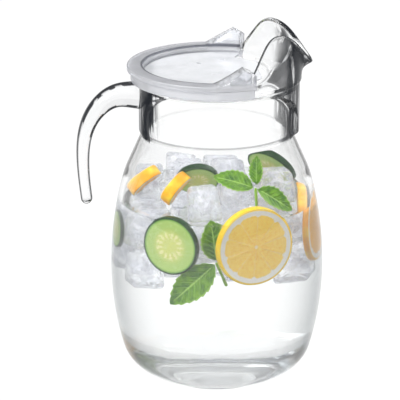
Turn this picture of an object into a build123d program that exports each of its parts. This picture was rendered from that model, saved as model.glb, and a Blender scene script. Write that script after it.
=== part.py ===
from build123d import *
import os
from math import atan2, cos, degrees, pi, radians, sin, sqrt

# A lidded glass jug that holds a cold drink. Millimetres.
# The origin is the centre of the foot on the table, +Z is up, +X runs along
# the pouring spout, and the handle is at -X.

# Glass body: three arcs, tangent to each other, turned about Z
belly_r = 75.2
belly_z = 80.0
shoulder_arc_r = 246.0
flank_arc_r = 217.0
heel_arc_r = 27.0
heel_lift = 2.2
wall = 3.5
base_thickness = 8.0
inner_heel_arc_r = 20.0

# Foot: a round pad that touches the table
foot_r = 43.0
foot_slope = 1.6

# Neck, crease and rim
crease_z = 175.0
neck_r = 53.5
crease_drop = 1.6
mouth_r = 53.5
mouth_depth = 5.0
mouth_flare = 7.0
rim_r = 58.6
rim_top_z = 223.5
rim_height = 6.5
rim_flare = 4.0

# Collar: a thicker band with an arched recess in front and behind
collar_r = 56.1
collar_towards_spout = 1.4
collar_foot_z = 178.0
collar_foot_radius = 4.0
collar_mouth_gap = 1.2
arch_top_z = 214.5
arch_flat_half_width = 31.0
arch_half_width = 50.5
arch_shoulder_drop = 24.0

# Spout: a wall that climbs from the rim into two wings and meets in a lip.
# Each station is the angle from the spout, then the radius and height of the edge.
spout_wall = 3.3
spout_root_r = 56.0
spout_root_width = 4.2
spout_root_depth = 4.5
spout_bulge = 1.0
lip_station = (0.0, 64.6, 229.7)
wing_stations = ((9.0, 61.2, 235.0), (20.0, 54.0, 247.0), (31.0, 48.4, 252.0),
                 (43.0, 46.2, 249.5), (55.0, 47.6, 240.0), (66.5, 51.6, 228.5))

# Handle: one tapering hook, fused to the collar at its upper end only
handle_root = (-51.0, 204.6)
handle_knee = (-70.0, 204.4)
handle_bend = (-86.4, 191.2)
handle_side = (-94.1, 158.0)
handle_end = (-91.6, 127.2)
handle_root_thickness = 20.0
handle_thickness = 8.2
handle_taper_power = 2.2
handle_root_width = 22.0
handle_width = 14.5
handle_sections = 9
handle_end_rounding = 2.6

# Lid: a moulding with a rim cap, a skirt, a plug wall and a sunk floor
lid_clearance = 0.3
lid_wall = 1.4
lid_floor_thickness = 1.5
lid_floor_top_z = 221.5
lid_top_z = 226.5
lid_flange_r = 62.9
lid_flange_height = 3.8
lid_skirt_foot_z = 216.3
lid_open_half_angle = 68.5
lid_edge_rounding = 1.2
tongue_r = 38.0
tongue_reach = 30.0
ear_start_angle = 96.0
ear_peak_angle = 76.0
ear_peak_z = 237.4
ear_end_z = 233.0
ear_inset = 0.4
gate_r = 1.5
gate_height = 0.5
gate_place = (-12.0, 19.5)

# Drink and what floats in it. The pieces were laid out for a bore of 65 at their
# own height; in a smaller jug they shrink with it, and lie closer to the middle.
water_z = 129.0
drink_gap = 0.3
fill_scale = min(1.0, (belly_r - wall - 6.7) / 65.0)

# Ice: tapered blocks, one to a cell of a loose square lattice in each layer
ice_width = 24.0 * fill_scale
ice_height = 22.0
ice_taper = 5.0
ice_chamfer = 2.6
ice_pitch = 29.0 * fill_scale
ice_turn_spread = 9.0
ice_lean_spread = 6.0
ice_height_spread = 2.2

# Fruit and herb
slice_clearance = 0.7
lemon_r = 26.5 * fill_scale
lemon_thickness = 6.0 * fill_scale
lemon_rind = 2.6
lemon_segments = 10
lemon_segment_gap = 1.3
lemon_segment_depth = 0.4
lemon_core_r = 3.0
lemon_edge_rounding = 1.4
wedge_r = 12.0 * fill_scale
wedge_thickness = 8.5 * fill_scale
cucumber_r = 19.5 * fill_scale
cucumber_end_r = 15.0 * fill_scale
cucumber_thickness = 5.0 * fill_scale
cucumber_edge_rounding = 1.0
mint_thickness = 0.8
mint_fold = 14.0
mint_teeth = 7
mint_tooth_depth = 0.9
mint_stem_r = 1.1
mint_leaf_start = 2.0


def profile_point(arc_r, offset, z):
    """A point of the belly's side, moved inwards by offset, at height z."""
    centre_r = belly_r - arc_r
    return (centre_r + sqrt((arc_r - offset) ** 2 - (z - belly_z) ** 2), z)


def heel_arc(offset, heel_r, bottom_z):
    """The arc that joins a flat bottom at bottom_z to the flank, as (start, middle, end)."""
    flank_centre = (belly_r - flank_arc_r, belly_z)
    centre_z = bottom_z + heel_r
    reach = flank_arc_r - offset - heel_r
    centre_r = flank_centre[0] + sqrt(reach ** 2 - (belly_z - centre_z) ** 2)
    tangent_angle = atan2(centre_z - flank_centre[1], centre_r - flank_centre[0])
    middle_angle = (tangent_angle - pi / 2) / 2
    end = (centre_r + heel_r * cos(tangent_angle), centre_z + heel_r * sin(tangent_angle))
    middle = (centre_r + heel_r * cos(middle_angle), centre_z + heel_r * sin(middle_angle))
    return (centre_r, bottom_z), middle, end


def side_edges(offset, heel_r, bottom_z, top_z):
    """The heel, flank and shoulder arcs of the body, from the bottom up."""
    start, middle, end = heel_arc(offset, heel_r, bottom_z)
    belly = profile_point(flank_arc_r, offset, belly_z)
    flank_middle = profile_point(flank_arc_r, offset, (end[1] + belly_z) / 2)
    shoulder_middle = profile_point(shoulder_arc_r, offset, (belly_z + top_z) / 2)
    top = profile_point(shoulder_arc_r, offset, top_z)
    edges = [ThreePointArc(start, middle, end), ThreePointArc(end, flank_middle, belly),
             ThreePointArc(belly, shoulder_middle, top)]
    return edges, start, top


def turned(edges):
    """A solid of revolution from a closed outline given as (radius, height)."""
    return revolve(Plane.XZ * make_face(edges), Axis.Z)


def glass_body():
    """The belly, base, neck and rim, as one turned wall."""
    outer, outer_start, outer_top = side_edges(0, heel_arc_r, heel_lift, crease_z - crease_drop)
    inner, inner_start, inner_top = side_edges(wall, inner_heel_arc_r, base_thickness,
                                               crease_z - crease_drop - wall / 2)
    neck_bore_r = neck_r - wall
    rim_foot_z = rim_top_z - rim_height
    rim = FilletPolyline(outer_top, (neck_r, crease_z), (neck_r, rim_foot_z - rim_flare),
                         (rim_r, rim_foot_z), (rim_r, rim_top_z), (mouth_r, rim_top_z),
                         (mouth_r, rim_top_z - mouth_depth),
                         (neck_bore_r, rim_top_z - mouth_depth - mouth_flare),
                         (neck_bore_r, crease_z + wall / 2), inner_top,
                         radius=(1.6, 3.0, 1.5, 2.6, 1.4, 3.0, 3.0, 2.0))
    base = Polyline(inner_start, (0, base_thickness), (0, heel_lift), outer_start)
    body = turned([*outer, rim, *inner, base])
    foot_top_z = heel_lift + wall / 2
    foot = Polyline((0, 0), (foot_r, 0), (foot_r + foot_slope, foot_top_z), (0, foot_top_z), (0, 0))
    return body + turned([foot])


def collar():
    """The thick band below the rim, left full at the spout and at the handle."""
    collar_top_z = rim_top_z - rim_height / 2
    height = collar_top_z - collar_foot_z
    band = Pos(collar_towards_spout, 0, collar_foot_z) * extrude(Circle(collar_r), height)
    band = fillet(band.edges().group_by(Axis.Z)[0], collar_foot_radius)
    band -= Pos(0, 0, collar_foot_z) * extrude(Circle(neck_r - wall / 2), height)
    # near the top the band stays behind the wider bore of the mouth
    mouth_foot_z = rim_top_z - mouth_depth - mouth_flare / 2
    band -= Pos(0, 0, mouth_foot_z) * extrude(Circle(mouth_r + collar_mouth_gap), height)
    foot_z = collar_foot_z - 1
    shoulder_z = arch_top_z - arch_shoulder_drop
    corner = (arch_flat_half_width + 0.72 * (arch_half_width - arch_flat_half_width),
              arch_top_z - 0.34 * arch_shoulder_drop)
    arch = [Line((-arch_flat_half_width, arch_top_z), (arch_flat_half_width, arch_top_z)),
            ThreePointArc((arch_flat_half_width, arch_top_z), corner, (arch_half_width, shoulder_z)),
            Polyline((arch_half_width, shoulder_z), (arch_half_width, foot_z),
                     (-arch_half_width, foot_z), (-arch_half_width, shoulder_z)),
            ThreePointArc((-arch_half_width, shoulder_z), (-corner[0], corner[1]),
                          (-arch_flat_half_width, arch_top_z))]
    opening = extrude(Plane.XZ * make_face(arch), 2 * collar_r, both=True)
    # the arch takes the band's face away, down to the round neck behind it
    return band - (opening - Pos(0, 0, foot_z) * extrude(Circle(neck_r), arch_top_z - foot_z))


def spout_section(angle, edge_r, edge_z):
    """One upright slice of the spout's wall, in the plane through Z at this angle."""
    start = Vector(spout_root_r, rim_top_z - spout_root_depth)
    end = Vector(edge_r, edge_z - spout_wall / 2)
    control = Vector(spout_root_r + spout_bulge, start.Y + 0.62 * (end.Y - start.Y))
    middle = start * 0.25 + control * 0.5 + end * 0.25

    def across(direction, width):
        return Vector(direction.Y, -direction.X).normalized() * (width / 2)

    root = across(control - start, spout_root_width)
    waist = across(end - start, (spout_root_width + spout_wall) / 2)
    edge = across(end - control, spout_wall)
    crown = end + (end - control).normalized() * (spout_wall / 2)
    outline = [ThreePointArc(start + root, middle + waist, end + edge),
               ThreePointArc(end + edge, crown, end - edge),
               ThreePointArc(end - edge, middle - waist, start - root),
               Line(start - root, start + root)]
    turn = radians(angle)
    plane = Plane(origin=(0, 0, 0), x_dir=(cos(turn), sin(turn), 0), z_dir=(sin(turn), -cos(turn), 0))
    return plane * make_face(outline)


def spout():
    """The two wings and the lip, lofted round the rim from one side to the other."""
    left = [spout_section(-angle, r, z) for angle, r, z in reversed(wing_stations)]
    right = [spout_section(angle, r, z) for angle, r, z in wing_stations]
    return loft([*left, spout_section(*lip_station), *right])


def glass_handle(jug):
    """A hook of rounded sections along its centre line, cut to sit on the collar."""
    centre_line = Spline(handle_root, handle_knee, handle_bend, handle_side, handle_end,
                         tangents=((-1, 0), (0.12, -1)))
    sections = []
    for i in range(handle_sections):
        along = i / (handle_sections - 1)
        thinning = (1 - along) ** handle_taper_power
        thickness = handle_thickness + (handle_root_thickness - handle_thickness) * thinning
        width = handle_width + (handle_root_width - handle_width) * (1 - along)
        point = centre_line @ along
        direction = centre_line % along
        plane = Plane(origin=(point.X, 0, point.Y), x_dir=(0, 1, 0), z_dir=(direction.X, 0, direction.Y))
        sections.append(plane * RectangleRounded(width, thickness, 0.42 * min(thickness, width)))
    hook = loft(sections)
    end_face = hook.faces().sort_by(Axis.Z)[0]
    hook = fillet(end_face.edges(), handle_end_rounding)
    # what the cut leaves inside the neck is not part of the handle
    return (hook - jug).solids().sort_by(SortBy.VOLUME)[-1]


def open_sector(half_angle):
    """A tall prism over the sector round +X, out to this angle on both sides."""
    far = 2 * lid_flange_r
    half = radians(half_angle)
    outline = Polyline((0, 0), (far * cos(half), -far * sin(half)), (2 * far, 0),
                       (far * cos(half), far * sin(half)), (0, 0))
    return Pos(0, 0, lid_skirt_foot_z - 1) * extrude(make_face(outline), ear_peak_z)


def lid_peak(inset):
    """The outside of the hollow peak beside the spout, or, with an inset, its inside."""
    middle_angle = (ear_start_angle + lid_open_half_angle) / 2
    start, top, stop = [lid_flange_r * sin(radians(angle - middle_angle))
                        for angle in (ear_start_angle, ear_peak_angle, lid_open_half_angle)]
    foot_z = rim_top_z + lid_clearance + lid_wall - inset
    outline = Polyline((start - 2 * inset, foot_z), (top, ear_peak_z - inset),
                       (stop, ear_end_z - inset), (stop, foot_z), (start - 2 * inset, foot_z))
    turn = radians(middle_angle)
    plane = Plane(origin=(0, 0, 0), x_dir=(-sin(turn), cos(turn), 0), z_dir=(cos(turn), sin(turn), 0))
    wedge = plane * extrude(make_face(outline), 2 * lid_flange_r)
    outer_r = lid_flange_r - ear_inset - inset
    inner_r = mouth_r - lid_clearance - lid_wall + ear_inset + inset
    band = Pos(0, 0, rim_top_z) * extrude(Circle(outer_r) - Circle(inner_r), ear_peak_z - rim_top_z)
    return band & wedge


def lid():
    """The press-fit lid, open at the spout, with a tongue of floor between the wings."""
    plug_r = mouth_r - lid_clearance
    skirt_bore_r = rim_r + lid_clearance
    skirt_r = skirt_bore_r + lid_wall
    flange_foot_z = lid_top_z - lid_flange_height
    seat_z = rim_top_z + lid_clearance
    floor_z = lid_floor_top_z - lid_floor_thickness
    cap = FilletPolyline((plug_r - lid_wall, lid_floor_top_z), (plug_r - lid_wall, lid_top_z),
                         (lid_flange_r, lid_top_z), (lid_flange_r, flange_foot_z),
                         (skirt_r, flange_foot_z), (skirt_r, lid_skirt_foot_z),
                         radius=(0.8, lid_edge_rounding, lid_edge_rounding, 0.5))
    under = Polyline((skirt_r, lid_skirt_foot_z), (skirt_bore_r, lid_skirt_foot_z),
                     (skirt_bore_r, seat_z), (plug_r, seat_z), (plug_r, floor_z), (0, floor_z),
                     (0, lid_floor_top_z), (plug_r - lid_wall, lid_floor_top_z))
    ear = lid_peak(0)
    end_wall_angle = degrees(lid_wall / mouth_r)
    hollow = lid_peak(lid_wall) - open_sector(lid_open_half_angle + end_wall_angle)
    whole = turned([cap, under]) + ear + mirror(ear, Plane.XZ)
    whole = whole - hollow - mirror(hollow, Plane.XZ) - open_sector(lid_open_half_angle)
    tongue = Circle(tongue_r) & Pos(tongue_reach - tongue_r, 0) * Rectangle(2 * tongue_r, 2 * tongue_r)
    whole += Pos(0, 0, floor_z) * extrude(tongue, lid_floor_thickness)
    gate = Pos(*gate_place, lid_floor_top_z) * extrude(Circle(gate_r), gate_height)
    return whole + gate


def in_jug(x, y, z):
    """A point of the layout, moved towards the axis where the jug is smaller."""
    return (x * fill_scale, y * fill_scale, z)


def ice_block(grow=0.0):
    """One block from a tray, wider at its open side, centred on the origin."""
    side = ice_width + 2 * grow
    height = ice_height + 2 * grow
    block = extrude(Rectangle(side, side), height, taper=ice_taper)
    return Pos(0, 0, -height / 2) * chamfer(block.edges(), ice_chamfer)


def ice_layer(height, turn, shift, skipped):
    """Places of the blocks of one layer, cell by cell of a 4 by 4 lattice without its corners."""
    places = []
    cells = [(i, j) for i in range(4) for j in range(4) if (i in (1, 2)) or (j in (1, 2))]
    for number, (i, j) in enumerate(cells):
        if number in skipped:
            continue
        wobble = 2.4 * number + height
        x = (i - 1.5) * ice_pitch
        y = (j - 1.5) * ice_pitch
        lean = Rot(ice_lean_spread * sin(wobble), ice_lean_spread * cos(1.7 * wobble),
                   ice_turn_spread * sin(2.9 * wobble))
        place = Pos(*in_jug(*shift, height + ice_height_spread * sin(1.3 * wobble))) * Rot(0, 0, turn)
        places.append(place * Pos(x, y, 0) * lean)
    return places


def standing_place(azimuth, height, slice_r, thickness):
    """Where a slice stands on its rim, its face against the glass at this azimuth."""
    reach = belly_r
    for i in range(-6, 7):
        up = slice_r * i / 6
        half_chord = sqrt(slice_r ** 2 - up ** 2)
        arc_r = shoulder_arc_r if height + up > belly_z else flank_arc_r
        inner_r = profile_point(arc_r, wall + slice_clearance, height + up)[0]
        reach = min(reach, sqrt(inner_r ** 2 - half_chord ** 2) - thickness / 2)
    a = radians(azimuth)
    return Pos(reach * cos(a), reach * sin(a), height) * Rot(0, 0, azimuth) * Rot(0, 90, 0)


def lying_place(centre, rind_way, face_way):
    """Where a piece lies, with its rind and its face turned these ways."""
    return Plane(origin=in_jug(*centre), x_dir=rind_way, z_dir=face_way)


def lemon_wedge(grow=0.0):
    """A short half slice of lemon lying in XY, its rind towards +X."""
    thickness = wedge_thickness + 2 * grow
    disc = Pos(0, 0, -thickness / 2) * extrude(Circle(wedge_r + grow), thickness)
    disc = fillet(disc.edges(), lemon_edge_rounding)
    size = 2 * (wedge_r + grow)
    return disc & Pos(size / 2 - grow, 0, 0) * Box(size, 2 * size, size)


def lemon_slice(grow=0.0):
    """A slice of lemon lying in XY, its segments sunk a little into the upper face."""
    thickness = lemon_thickness + 2 * grow
    disc = Pos(0, 0, -thickness / 2) * extrude(Circle(lemon_r + grow), thickness)
    disc = fillet(disc.edges(), lemon_edge_rounding)
    if not grow:
        segment_r = lemon_r - lemon_rind
        half_angle = pi / lemon_segments
        inner = lemon_core_r + lemon_segment_gap
        spread = (segment_r - lemon_segment_gap) * sin(half_angle) - lemon_segment_gap / 2
        shoulder = (segment_r - lemon_segment_gap) * cos(half_angle)
        wedge = make_face([Line((inner, 0), (shoulder, -spread)),
                           ThreePointArc((shoulder, -spread), (segment_r, 0), (shoulder, spread)),
                           Line((shoulder, spread), (inner, 0))])
        cutter = Pos(0, 0, thickness / 2 - lemon_segment_depth) * extrude(wedge, 1)
        for i in range(lemon_segments):
            disc -= Rot(0, 0, (i + 0.5) * 360 / lemon_segments) * cutter
    return disc


def cucumber_slice(slice_r, grow=0.0):
    """A slice of cucumber lying in XY."""
    thickness = cucumber_thickness + 2 * grow
    disc = Pos(0, 0, -thickness / 2) * extrude(Circle(slice_r + grow), thickness)
    return fillet(disc.edges(), cucumber_edge_rounding)


def mint_leaf(base, tip, width, facing, grow=0.0):
    """A toothed leaf from base to tip, its face turned to facing, folded a little along its rib."""
    base, tip, facing = Vector(*in_jug(*base)), Vector(*in_jug(*tip)), Vector(*facing)
    start, stop = mint_leaf_start - grow, (tip - base).length + grow
    steps = 2 * mint_teeth
    margin = []
    for i in range(1, steps):
        along = i / steps
        swell = sin(pi * along ** 0.85) ** 0.8
        tooth = mint_tooth_depth if i % 2 else 0.0
        margin.append((start + along * (stop - start), width / 2 * fill_scale * swell + tooth + grow))
    half_outline = Polyline((start, 0), *margin, (stop, 0), (start, 0))
    thickness = mint_thickness + 2 * grow
    half_leaf = Pos(0, 0, -thickness / 2) * extrude(make_face(half_outline), thickness)
    half_leaf = Rot(mint_fold, 0, 0) * half_leaf
    rib = Plane.YZ.offset(start) * Circle(thickness * 0.62)
    leaf = half_leaf + mirror(half_leaf, Plane.XZ) + extrude(rib, 0.96 * (stop - start))
    direction = (tip - base).normalized()
    across = (facing - direction * facing.dot(direction)).normalized()
    return Plane(origin=base, x_dir=direction, z_dir=across) * leaf


def mint_stem(top, foot, grow=0.0):
    """A straight stem from the leaves down into the drink."""
    top, foot = Vector(*in_jug(*top)), Vector(*in_jug(*foot))
    downwards = (foot - top).normalized()
    plane = Plane(origin=top - downwards * grow, z_dir=downwards)
    return plane * extrude(Circle(mint_stem_r + grow), (foot - top).length + 2 * grow)


# Where the fruit stands: against the glass at the front, sides and back
lemon_places = {
    "lemon_slice_front": standing_place(-69.0, 113.5, lemon_r, lemon_thickness),
    "lemon_slice_right": standing_place(-7.0, 112.0, lemon_r, lemon_thickness),
}
wedge_places = {
    "lemon_wedge_left": lying_place((-51.2, -2.6, 142.6), (-0.12, -0.90, 0.41), (-0.59, 0.41, 0.70)),
    "lemon_wedge_middle": lying_place((-29.7, -20.0, 142.0), (-0.14, -0.91, 0.39), (-0.75, 0.37, 0.55)),
}
cucumber_places = {
    "cucumber_slice_front": (cucumber_r, standing_place(-121.5, 112.5, cucumber_r, cucumber_thickness)),
    "cucumber_slice_left": (cucumber_r, standing_place(186.0, 103.0, cucumber_r, cucumber_thickness)),
    "cucumber_slice_middle": (cucumber_end_r, Pos(*in_jug(-14.2, -8.2, 143.9)) * Rot(122, 0, -4)),
    "cucumber_slice_back": (cucumber_r, lying_place((41.8, 23.0, 141.2), (0.21, -0.75, 0.63),
                                                    (-0.52, -0.63, -0.58))),
}

# Where the mint lies: (base, tip, width, facing) of each leaf, (top, foot) of each stem
upper_joint = (24.0, -41.0, 148.0)
lower_joint = (-3.8, -59.6, 102.0)
mint_leaves = {
    "mint_leaf_upper_left": (upper_joint, (-4.5, -37.0, 155.5), 16.0, (0.0, -0.7, 1.0)),
    "mint_leaf_upper_top": ((24.6, -39.8, 148.4), (25.4, -29.0, 169.5), 9.0, (-0.5, -1.0, 0.5)),
    "mint_leaf_upper_right": (upper_joint, (49.2, -36.0, 130.5), 14.0, (0.2, -0.8, 1.0)),
    "mint_leaf_lower_up": (lower_joint, (-6.0, -55.6, 131.0), 15.0, (0.30, -1.0, 0.0)),
    "mint_leaf_lower_down": (lower_joint, (-33.5, -52.7, 70.5), 18.0, (-0.3, -1.0, 0.1)),
}
mint_stems = {
    "mint_stem_upper": (upper_joint, (24.5, -44.5, 127.0)),
    "mint_stem_lower": (lower_joint, (3.0, -53.0, 84.0)),
}

# Ice layers: height of the middle, turn of the lattice, shift in plan, cells left to the fruit
ice_layers = (
    (137.5, 8.0, (-3.3, 2.6), (0, 3, 6, 11)),
    (111.0, 8.0, (-4.4, 3.0), (3, 6)),
    (86.0, 8.0, (-3.0, 3.0), (2, 3, 5, 6, 9)),
)


def main():
    pieces = {}
    pockets = []
    jug = glass_body() + collar() + spout()
    pieces["glass_jug"] = jug
    pieces["glass_handle"] = glass_handle(jug)
    pieces["lid"] = lid()

    block, block_pocket = ice_block(), ice_block(drink_gap)
    places = [place for layer in ice_layers for place in ice_layer(*layer)]
    for number, place in enumerate(places, 1):
        pieces[f"ice_cube_{number:02d}"] = place * block
        pockets.append(place * block_pocket)
    for name, place in lemon_places.items():
        pieces[name] = place * lemon_slice()
        pockets.append(place * lemon_slice(drink_gap))
    for name, place in wedge_places.items():
        pieces[name] = place * lemon_wedge()
        pockets.append(place * lemon_wedge(drink_gap))
    for name, (slice_r, place) in cucumber_places.items():
        pieces[name] = place * cucumber_slice(slice_r)
        pockets.append(place * cucumber_slice(slice_r, drink_gap))
    for name, leaf in mint_leaves.items():
        pieces[name] = mint_leaf(*leaf)
        pockets.append(mint_leaf(*leaf, grow=drink_gap))
    for name, stem in mint_stems.items():
        pieces[name] = mint_stem(*stem)
        pockets.append(mint_stem(*stem, grow=drink_gap))

    side, start, top = side_edges(wall + drink_gap, inner_heel_arc_r - drink_gap,
                                  base_thickness + drink_gap, water_z)
    surface_and_axis = Polyline(top, (0, water_z), (0, base_thickness + drink_gap), start)
    water = turned([*side, surface_and_axis])
    # one at a time, because pockets that meet each other fail when cut together
    for pocket in pockets:
        water -= pocket
    pieces["water"] = water

    os.makedirs("parts", exist_ok=True)
    for name, piece in pieces.items():
        piece.label = name
        export_step(piece, f"parts/{name}.step")
    print(len(pieces), "pieces")


main()
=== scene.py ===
from math import atan2, cos, pi, radians, sin, sqrt

import bmesh
import bpy
import numpy as np
from mathutils import Matrix, Vector, noise


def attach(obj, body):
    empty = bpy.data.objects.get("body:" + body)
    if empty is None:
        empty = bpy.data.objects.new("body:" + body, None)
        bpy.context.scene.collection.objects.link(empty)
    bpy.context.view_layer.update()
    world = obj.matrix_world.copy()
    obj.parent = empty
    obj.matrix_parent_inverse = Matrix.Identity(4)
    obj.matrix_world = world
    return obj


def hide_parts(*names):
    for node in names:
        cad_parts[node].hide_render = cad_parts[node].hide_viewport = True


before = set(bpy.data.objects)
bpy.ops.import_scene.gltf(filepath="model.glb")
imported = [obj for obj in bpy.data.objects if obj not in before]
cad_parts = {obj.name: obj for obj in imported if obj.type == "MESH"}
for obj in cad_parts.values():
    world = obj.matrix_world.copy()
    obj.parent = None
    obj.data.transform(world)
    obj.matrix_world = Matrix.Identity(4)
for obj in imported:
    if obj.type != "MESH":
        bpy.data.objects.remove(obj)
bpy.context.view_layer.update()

# Studio. A white sweep with light from all round it, and dark walls that only
# glass and gloss can see, so that glass is drawn by its own dark edges. The
# camera stands far back with a long lens, a little above the jug.
scene = bpy.context.scene
bpy.ops.object.select_all(action="DESELECT")

camera_data = bpy.data.cameras.new("camera")
camera_data.lens = 203.6
camera_data.sensor_width = 36.0
camera_data.clip_start, camera_data.clip_end = 0.05, 30.0
camera = bpy.data.objects.new("camera", camera_data)
camera.location = (-0.0914, -1.5153, 0.6317)
camera.rotation_euler = (radians(71.6), 0.0, radians(-3.0))
scene.collection.objects.link(camera)
scene.camera = camera
scene.view_settings.view_transform = "Standard"
# light passes many walls of glass and ice, one behind the other
scene.cycles.max_bounces = 28
scene.cycles.transmission_bounces = 26
scene.cycles.glossy_bounces = 10
scene.cycles.transparent_max_bounces = 48


class Tone:
    """A socket of a finish. Sums and products of it add the Math nodes that make them."""

    def __init__(self, finish, socket):
        self.finish, self.socket = finish, socket

    def math(self, operation, *others, swapped=False):
        values = (*others, self) if swapped else (self, *others)
        return self.finish.add("ShaderNodeMath", {"operation": operation}, dict(enumerate(values)))

    def __add__(self, other):
        return self.math("ADD", other)

    def __mul__(self, other):
        return self.math("MULTIPLY", other)

    def __sub__(self, other):
        return self.math("SUBTRACT", other)

    def __rsub__(self, other):
        return self.math("SUBTRACT", other, swapped=True)

    def __truediv__(self, other):
        return self.math("DIVIDE", other)

    def __pow__(self, other):
        return self.math("POWER", other)

    __radd__, __rmul__ = __add__, __mul__

    def ramp(self, low, high):
        """0 below low, 1 above high and smooth in between; the other way round if low is the larger."""
        return self.finish.add("ShaderNodeMapRange", {"interpolation_type": "SMOOTHSTEP"},
                               {"Value": self, "From Min": low, "From Max": high})


class Finish:
    """A material, or the world, as a tree of nodes."""

    def __init__(self, name, owner=None):
        self.owner = owner or bpy.data.materials.new(name)
        self.owner.use_nodes = True
        self.tree = self.owner.node_tree
        self.tree.nodes.clear()

    def add(self, kind, settings=None, inputs=None, output=0):
        node = self.tree.nodes.new(kind)
        for key, value in (settings or {}).items():
            setattr(node, key, value)
        for key, value in (inputs or {}).items():
            if isinstance(value, Tone):
                self.tree.links.new(value.socket, node.inputs[key])
            else:
                node.inputs[key].default_value = value
        return Tone(self, node.outputs[output])

    def blend(self, share, first, second):
        """One colour at share 0 and the other at share 1."""
        pick = [colour if isinstance(colour, Tone) else (*colour, 1.0) for colour in (first, second)]
        return self.add("ShaderNodeMix", {"data_type": "RGBA"}, {0: share, 6: pick[0], 7: pick[1]}, 2)

    def mixed(self, share, first, second):
        return self.add("ShaderNodeMixShader", None, {0: share, 1: first, 2: second})

    def grain(self, scale, detail=2.0, stretch=(1, 1, 1), where=None, distortion=0.0):
        """Noise of the given number of lumps to a metre."""
        where = where or self.add("ShaderNodeTexCoord", output="Object")
        turned = self.add("ShaderNodeMapping", None, {"Vector": where, "Scale": stretch})
        return self.add("ShaderNodeTexNoise", None, {
            "Vector": turned, "Scale": scale, "Detail": detail, "Distortion": distortion})

    def relief(self, height, distance, strength):
        return self.add("ShaderNodeBump", None, {
            "Height": height, "Distance": distance, "Strength": strength})

    def split(self, vector):
        """The X, Y and Z of a vector."""
        return [self.add("ShaderNodeSeparateXYZ", None, {"Vector": vector}, axis) for axis in range(3)]

    def ray(self, kind):
        """1 for rays of this kind."""
        return self.add("ShaderNodeLightPath", None, None, f"Is {kind} Ray")

    def lit_through(self, shader, share):
        """Lets this share of the lamps' light straight through, so that what is inside is lit."""
        straight = self.add("ShaderNodeBsdfTransparent", None, {"Color": (share, share, share, 1)})
        return self.mixed(self.ray("Shadow"), shader, straight)

    def done(self, shader, kind="ShaderNodeOutputMaterial"):
        output = self.tree.nodes.new(kind)
        self.tree.links.new(shader.socket, output.inputs["Surface"])
        return self.owner


def paint(red, green, blue):
    """A colour by its screen values of 0 to 255, made linear."""
    shares = [value / 255 for value in (red, green, blue)]
    return tuple(((s + 0.055) / 1.055) ** 2.4 if s > 10 / 255 else s / 12.92 for s in shares)


world = bpy.data.worlds.new("studio")
scene.world = world
studio = Finish("studio", world)
# how much darker than white each side looks in glass and in gloss, to rays that have met no matt surface
all_round, side_walls, overhead = 0.1, 0.45, 0.25
x, y, z = studio.split(studio.add("ShaderNodeTexCoord", output="Generated"))
aside = x.math("ABSOLUTE") / (x * x + y * y + 0.0001) ** 0.5
walls = side_walls * aside.ramp(0.5, 0.9) * z.ramp(0.6, 0.35)
through_glass = all_round + walls + overhead * z.ramp(0.5, 0.95)
in_gloss = 0.65 - 0.55 * z.ramp(0.25, 0.8)
passed = studio.ray("Transmission")
mirrored = studio.ray("Glossy") * (1.0 - passed)
matt_turns = studio.add("ShaderNodeLightPath", output="Diffuse Depth")
seen_in_glass = (1.0 - matt_turns).math("MAXIMUM", 0.0)
level = 1.0 - seen_in_glass * (passed * through_glass + mirrored * in_gloss)
studio.done(studio.add("ShaderNodeBackground", None, {"Color": (1, 1, 1, 1), "Strength": level}),
            "ShaderNodeOutputWorld")

bpy.ops.mesh.primitive_plane_add(size=12.0, location=(0, 0, -0.0002))
floor = bpy.context.object
floor.name = "floor"
sweep = Finish("floor white")
matt = sweep.add("ShaderNodeBsdfDiffuse", None, {"Color": (0.93, 0.93, 0.93, 1)})
white = sweep.add("ShaderNodeEmission", None, {"Color": (1, 1, 1, 1), "Strength": 1.0})
plain_view = (sweep.ray("Camera") + sweep.ray("Glossy") + sweep.ray("Transmission")).math("MINIMUM", 1.0)
floor.data.materials.append(sweep.done(sweep.mixed(plain_view * 0.8, matt, white)))


def soft_light(name, place, size, power):
    """A square lamp that faces the middle of the jug."""
    lamp = bpy.data.objects.new(name, bpy.data.lights.new(name, "AREA"))
    lamp.data.size = size
    lamp.data.energy = power
    lamp.location = place
    lamp.rotation_euler = (Vector((0, 0, 0.12)) - Vector(place)).to_track_quat("-Z", "Y").to_euler()
    scene.collection.objects.link(lamp)


soft_light("light over left", (-0.9, -0.7, 1.2), 0.7, 11.0)
soft_light("light over right", (1.0, 0.3, 1.1), 0.6, 6.0)


# Glass jug. Moulded soda glass: belly, foot, neck, collar with an arched recess
# front and back, rim, and two wings that meet in a lip. The hook handle is
# fused on while hot, so that body and handle are one skin of glass here.
MM = 0.001
belly_r, belly_z = 75.2, 80.0
shoulder_arc_r, flank_arc_r = 246.0, 217.0
heel_arc_r, inner_heel_arc_r = 27.0, 20.0
heel_lift, wall, base_thickness = 2.2, 3.5, 8.0
foot_r, foot_ring_width, foot_splay = 43.0, 4.0, 0.9
foot_hollow, foot_slope_width = 0.7, 4.0
outer_top_z, inner_top_z, shoulder_z, shoulder_rounding = 144.0, 152.0, 150.0, 60.0
waist_r, waist_z, waist_flare = 52.8, 177.3, 8.0
neck_r, bore_foot_z, bore_taper = 53.5, 180.0, 0.4
mouth_r, mouth_depth, mouth_flare = 53.5, 5.0, 7.0
rim_r, rim_top_z, rim_height, rim_flare = 58.6, 223.5, 6.5, 4.0
wing_root_z = 219.0
glass_columns, cap_rows = 252, 57


def wall_r(z, offset=0.0):
    """Radius of the belly's side at height z, moved inwards by offset."""
    arc = shoulder_arc_r if z >= belly_z else flank_arc_r
    return belly_r - arc + sqrt((arc - offset) ** 2 - (z - belly_z) ** 2)


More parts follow.
